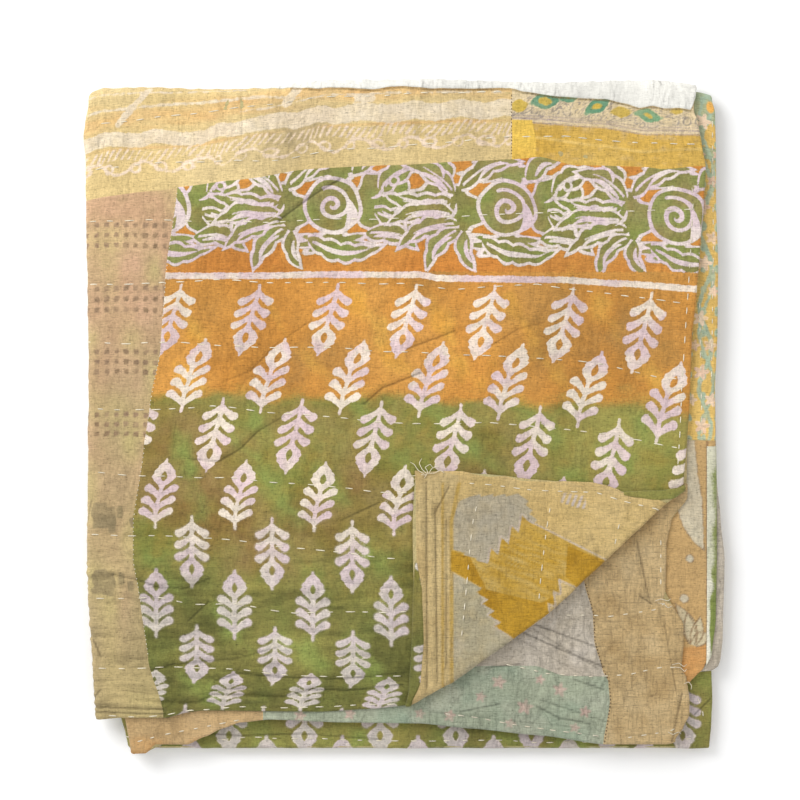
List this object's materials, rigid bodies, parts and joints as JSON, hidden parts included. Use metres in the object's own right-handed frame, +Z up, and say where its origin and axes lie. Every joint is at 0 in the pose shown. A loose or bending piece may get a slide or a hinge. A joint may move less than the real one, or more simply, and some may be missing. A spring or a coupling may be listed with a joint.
{
  "type": "folded patchwork quilt",
  "caption": "Thin hand-stitched cotton patchwork quilt, folded into a flat square stack with its folds at the top, left and bottom and one corner turned back",
  "frame": {"origin": "in the resting plane, under the middle of the folded stack as the picture shows it", "axes": "+Z up; +X towards the open hems at the right; +Y towards the last fold at the top; the side fold is at -X and the turned corner at the lower right of the top layer"},
  "size_m": [0.6413, 0.6759, 0.031],
  "materials": {
    "quilt_cotton": "soft washed cotton, matt"
  },
  "bodies": {
    "root": {"quilt": "quilt_cotton"}
  },
  "joints": []
}
